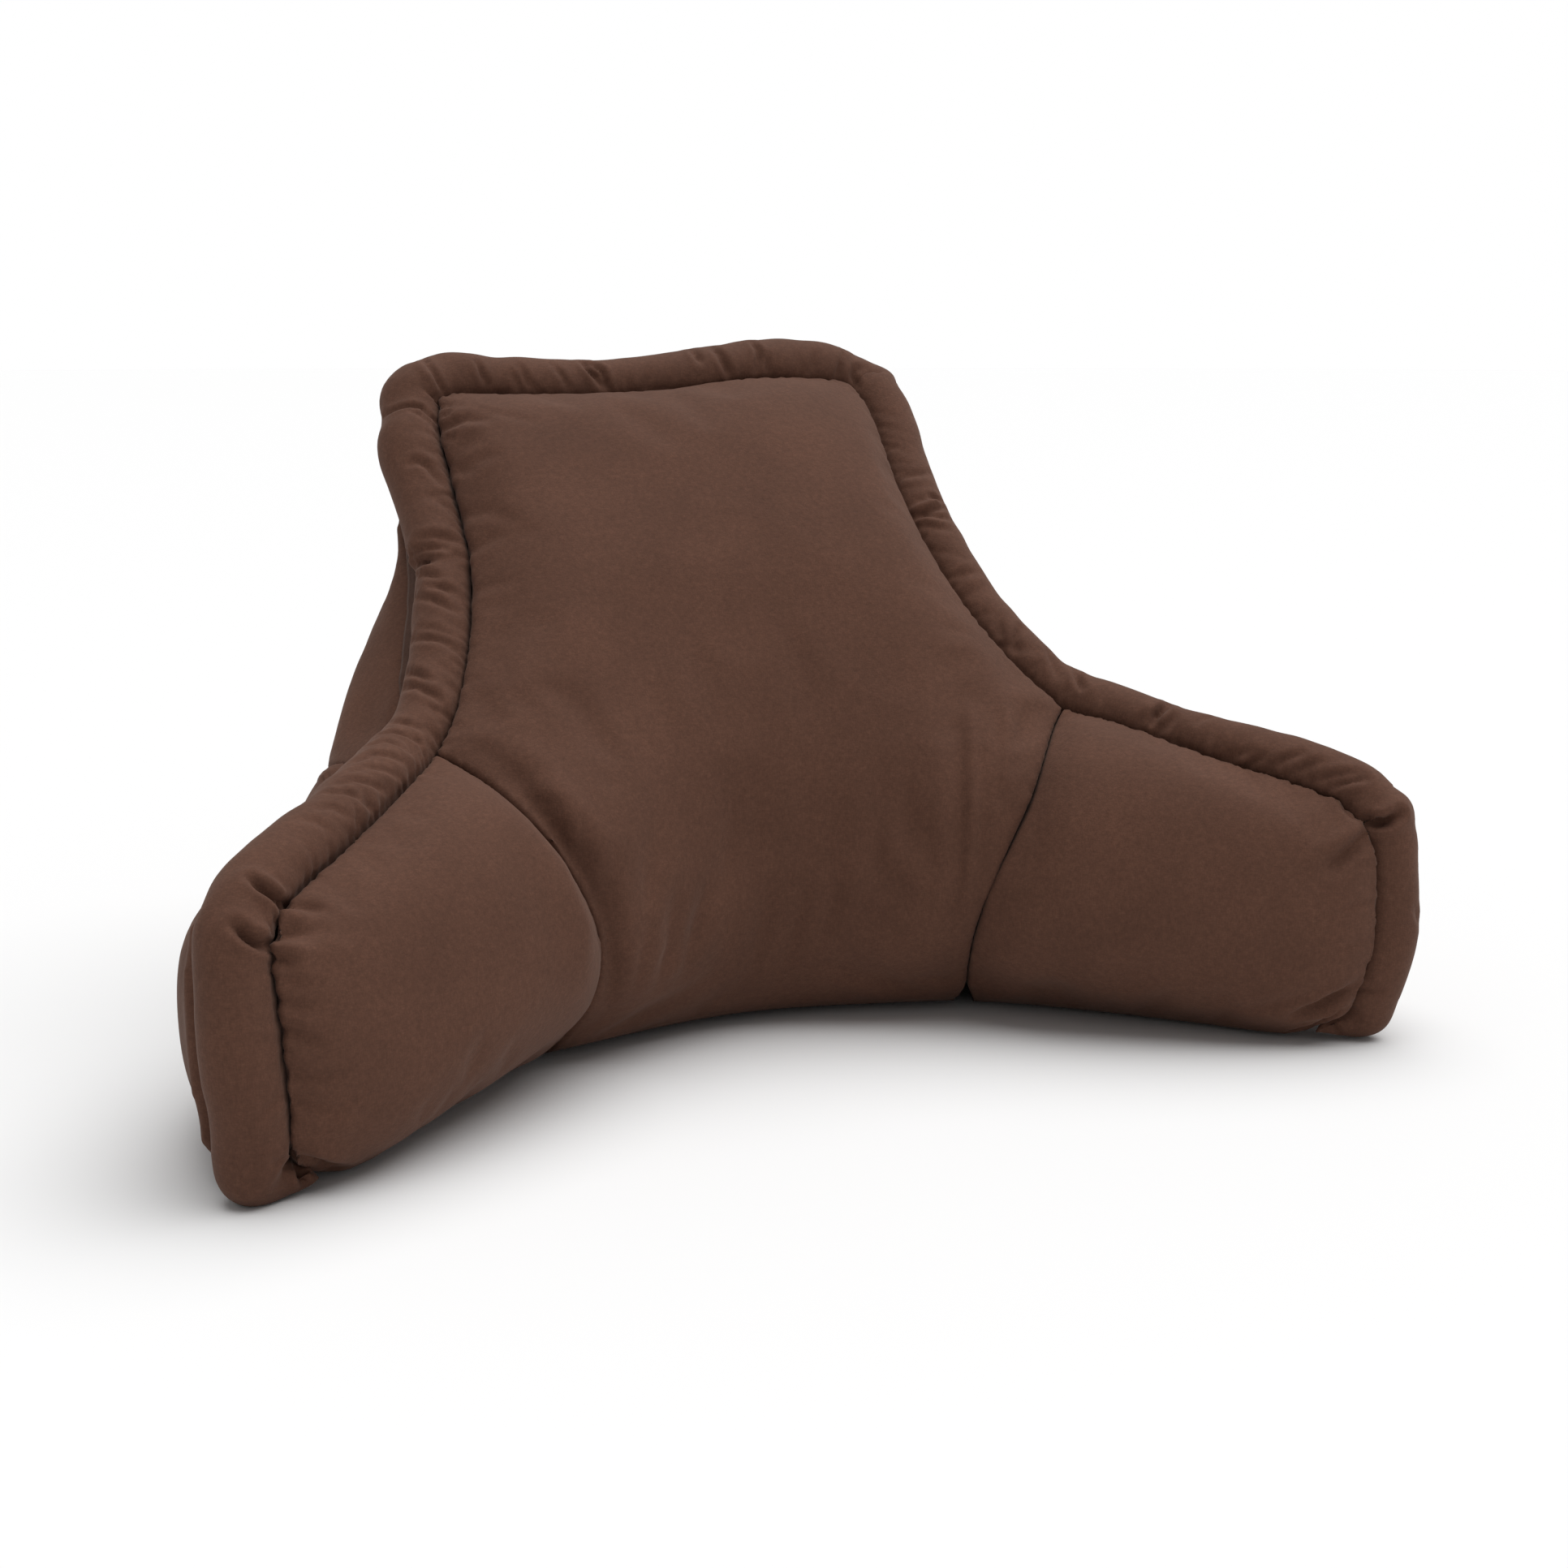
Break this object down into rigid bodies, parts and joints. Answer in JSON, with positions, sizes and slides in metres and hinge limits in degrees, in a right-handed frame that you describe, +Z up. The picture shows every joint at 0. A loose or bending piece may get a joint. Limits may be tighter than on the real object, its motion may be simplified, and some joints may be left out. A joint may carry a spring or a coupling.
{
  "type": "reading cushion with arms",
  "caption": "Filled backrest cushion with forward-reaching arms and a thick padded roll sewn round its front outline, for sitting up in bed or on the floor.",
  "frame": {"origin": "bottom centre of the cushion's box, on the floor", "axes": "+Z up, +X to the right as seen from the front, the front faces -Y and the arms reach towards -Y"},
  "size_m": [0.9072, 0.5217, 0.5149],
  "materials": {
    "cloth": "matt brushed weave, dark brown",
    "roll_cloth": "matt brushed weave, dark brown, gathered",
    "band_cloth": "matt brushed weave, dark brown"
  },
  "bodies": {
    "root": {"back_cushion": "cloth", "arm_left": "cloth", "arm_right": "cloth", "roll_top": "roll_cloth", "roll_corner_left": "roll_cloth", "roll_corner_right": "roll_cloth", "roll_side_left": "roll_cloth", "roll_side_right": "roll_cloth", "roll_end_left": "roll_cloth", "roll_end_right": "roll_cloth", "edge_band": "band_cloth"}
  },
  "joints": []
}
